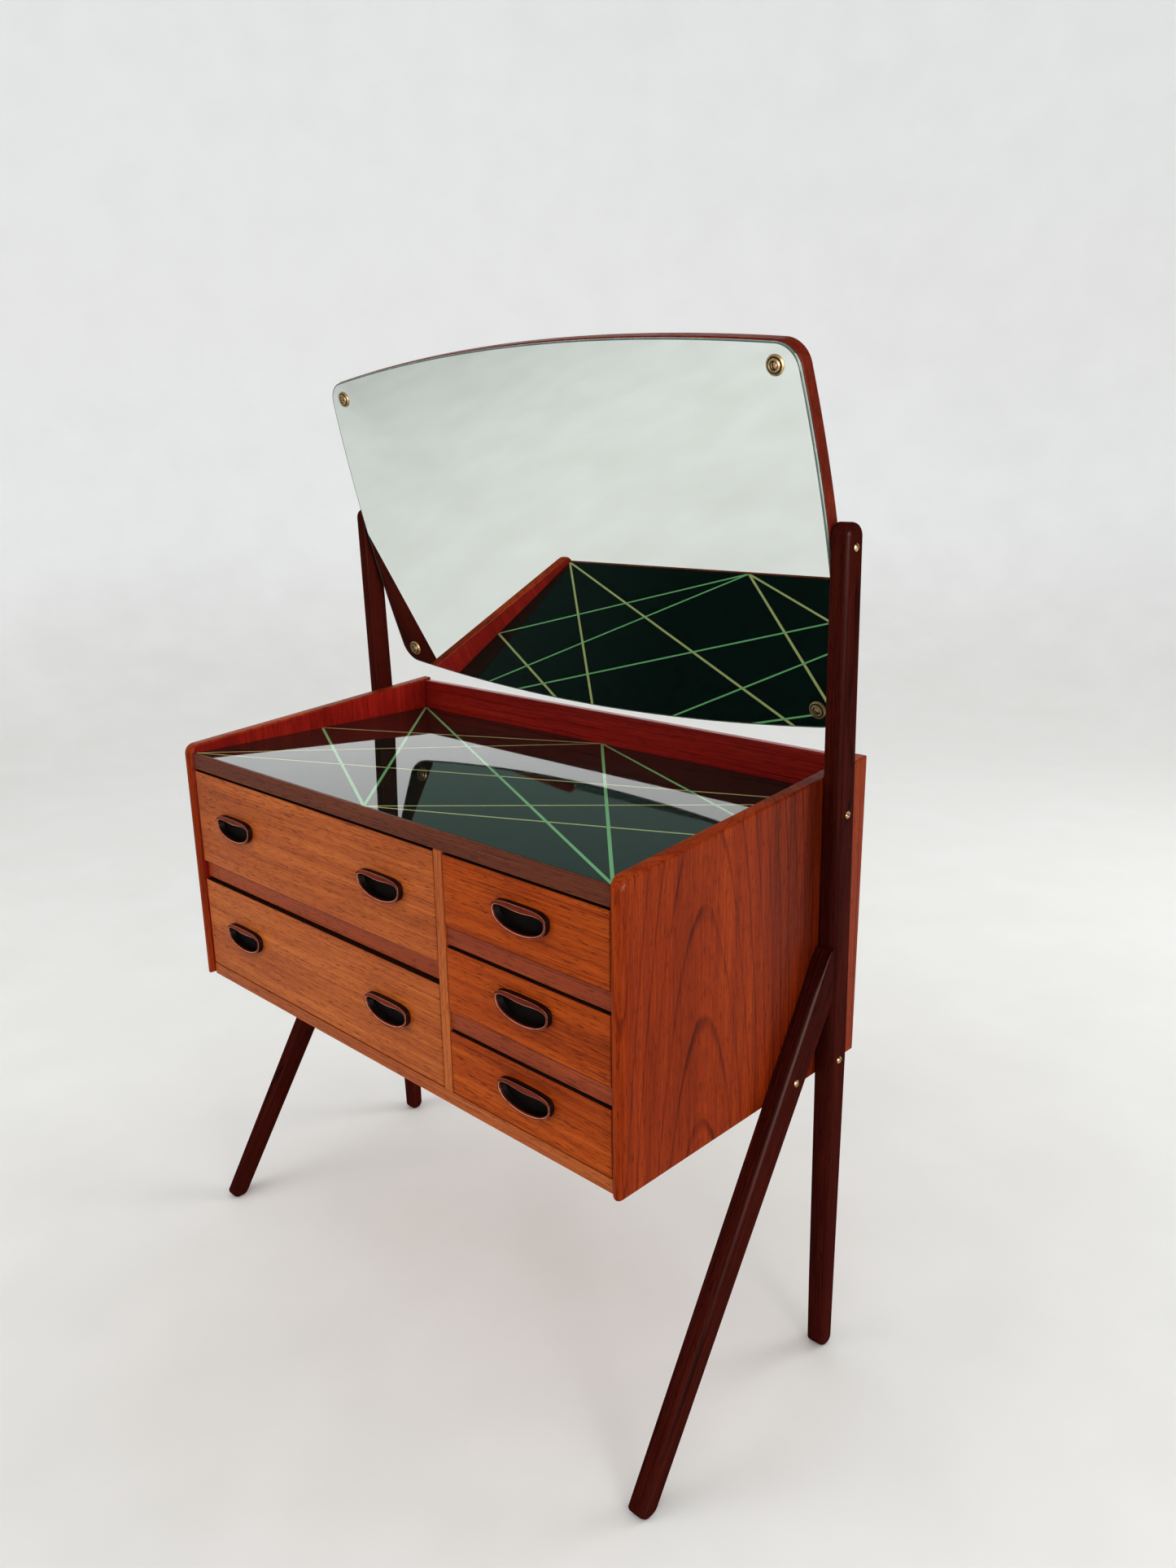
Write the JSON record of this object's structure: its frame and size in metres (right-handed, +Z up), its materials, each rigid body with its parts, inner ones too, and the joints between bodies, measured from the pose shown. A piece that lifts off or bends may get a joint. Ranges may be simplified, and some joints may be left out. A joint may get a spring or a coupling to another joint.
{
  "type": "vanity table with mirror",
  "caption": "Teak vanity table with a dark glass top, drawers with carved pulls, raked dark legs and a tilting mirror held between two tall posts.",
  "frame": {"origin": "on the floor, under the middle of the object's box", "axes": "+X to the sitter's right, +Y from the drawer side to the back, +Z up"},
  "size_m": [0.8476, 0.42, 1.2116],
  "materials": {
    "teak": "satin oil",
    "dark_teak": "satin",
    "carved_dark_wood": "semi-gloss lacquer",
    "dark_stained_wood": "semi-gloss lacquer",
    "beech": "matt",
    "plywood": "matt",
    "painted_glass": "gloss, painted underneath",
    "mirror": "silvered",
    "brass": "aged"
  },
  "bodies": {
    "cabinet": {"left_side_panel": "teak", "right_side_panel": "teak", "bottom_board": "teak", "column_divider": "teak", "top_board": "plywood", "top_front_lipping": "dark_teak", "glass_top": "painted_glass", "gallery_rail": "dark_teak", "back_board": "plywood", "wide_drawer_rail": "dark_teak", "narrow_drawer_rail_upper": "dark_teak", "narrow_drawer_rail_lower": "dark_teak", "wide_drawer_runners": "beech", "narrow_drawer_runners": "beech", "left_post": "dark_stained_wood", "right_post": "dark_stained_wood", "left_front_leg": "dark_stained_wood", "right_front_leg": "dark_stained_wood", "post_screws": "brass", "leg_screws": "brass"},
    "wide_upper_drawer": {"wide_upper_front": "teak", "wide_upper_left_side": "beech", "wide_upper_right_side": "beech", "wide_upper_back": "beech", "wide_upper_bottom": "plywood", "wide_upper_left_pull": "carved_dark_wood", "wide_upper_right_pull": "carved_dark_wood"},
    "wide_lower_drawer": {"wide_lower_front": "teak", "wide_lower_left_side": "beech", "wide_lower_right_side": "beech", "wide_lower_back": "beech", "wide_lower_bottom": "plywood", "wide_lower_left_pull": "carved_dark_wood", "wide_lower_right_pull": "carved_dark_wood"},
    "narrow_upper_drawer": {"narrow_upper_front": "teak", "narrow_upper_left_side": "beech", "narrow_upper_right_side": "beech", "narrow_upper_back": "beech", "narrow_upper_bottom": "plywood", "narrow_upper_pull": "carved_dark_wood"},
    "narrow_middle_drawer": {"narrow_middle_front": "teak", "narrow_middle_left_side": "beech", "narrow_middle_right_side": "beech", "narrow_middle_back": "beech", "narrow_middle_bottom": "plywood", "narrow_middle_pull": "carved_dark_wood"},
    "narrow_lower_drawer": {"narrow_lower_front": "teak", "narrow_lower_left_side": "beech", "narrow_lower_right_side": "beech", "narrow_lower_back": "beech", "narrow_lower_bottom": "plywood", "narrow_lower_pull": "carved_dark_wood"},
    "mirror": {"mirror_board": "teak", "mirror_glass": "mirror", "mirror_rosettes": "brass", "mirror_screws": "brass", "pivot_screws": "brass", "pivot_washers": "brass"}
  },
  "joints": [
    {"name": "wide_upper_drawer_slide", "type": "slide", "parent": "cabinet", "child": "wide_upper_drawer", "axis": [0, -1, 0], "range_m": [0, 0.26]},
    {"name": "wide_lower_drawer_slide", "type": "slide", "parent": "cabinet", "child": "wide_lower_drawer", "axis": [0, -1, 0], "range_m": [0, 0.26]},
    {"name": "narrow_upper_drawer_slide", "type": "slide", "parent": "cabinet", "child": "narrow_upper_drawer", "axis": [0, -1, 0], "range_m": [0, 0.26]},
    {"name": "narrow_middle_drawer_slide", "type": "slide", "parent": "cabinet", "child": "narrow_middle_drawer", "axis": [0, -1, 0], "range_m": [0, 0.26]},
    {"name": "narrow_lower_drawer_slide", "type": "slide", "parent": "cabinet", "child": "narrow_lower_drawer", "axis": [0, -1, 0], "range_m": [0, 0.26]},
    {"name": "mirror_tilt", "type": "hinge", "parent": "cabinet", "child": "mirror", "pos_m": [0, 0.128, 0.9857], "axis": [1, 0, 0], "range_deg": [-60, 30]}
  ]
}
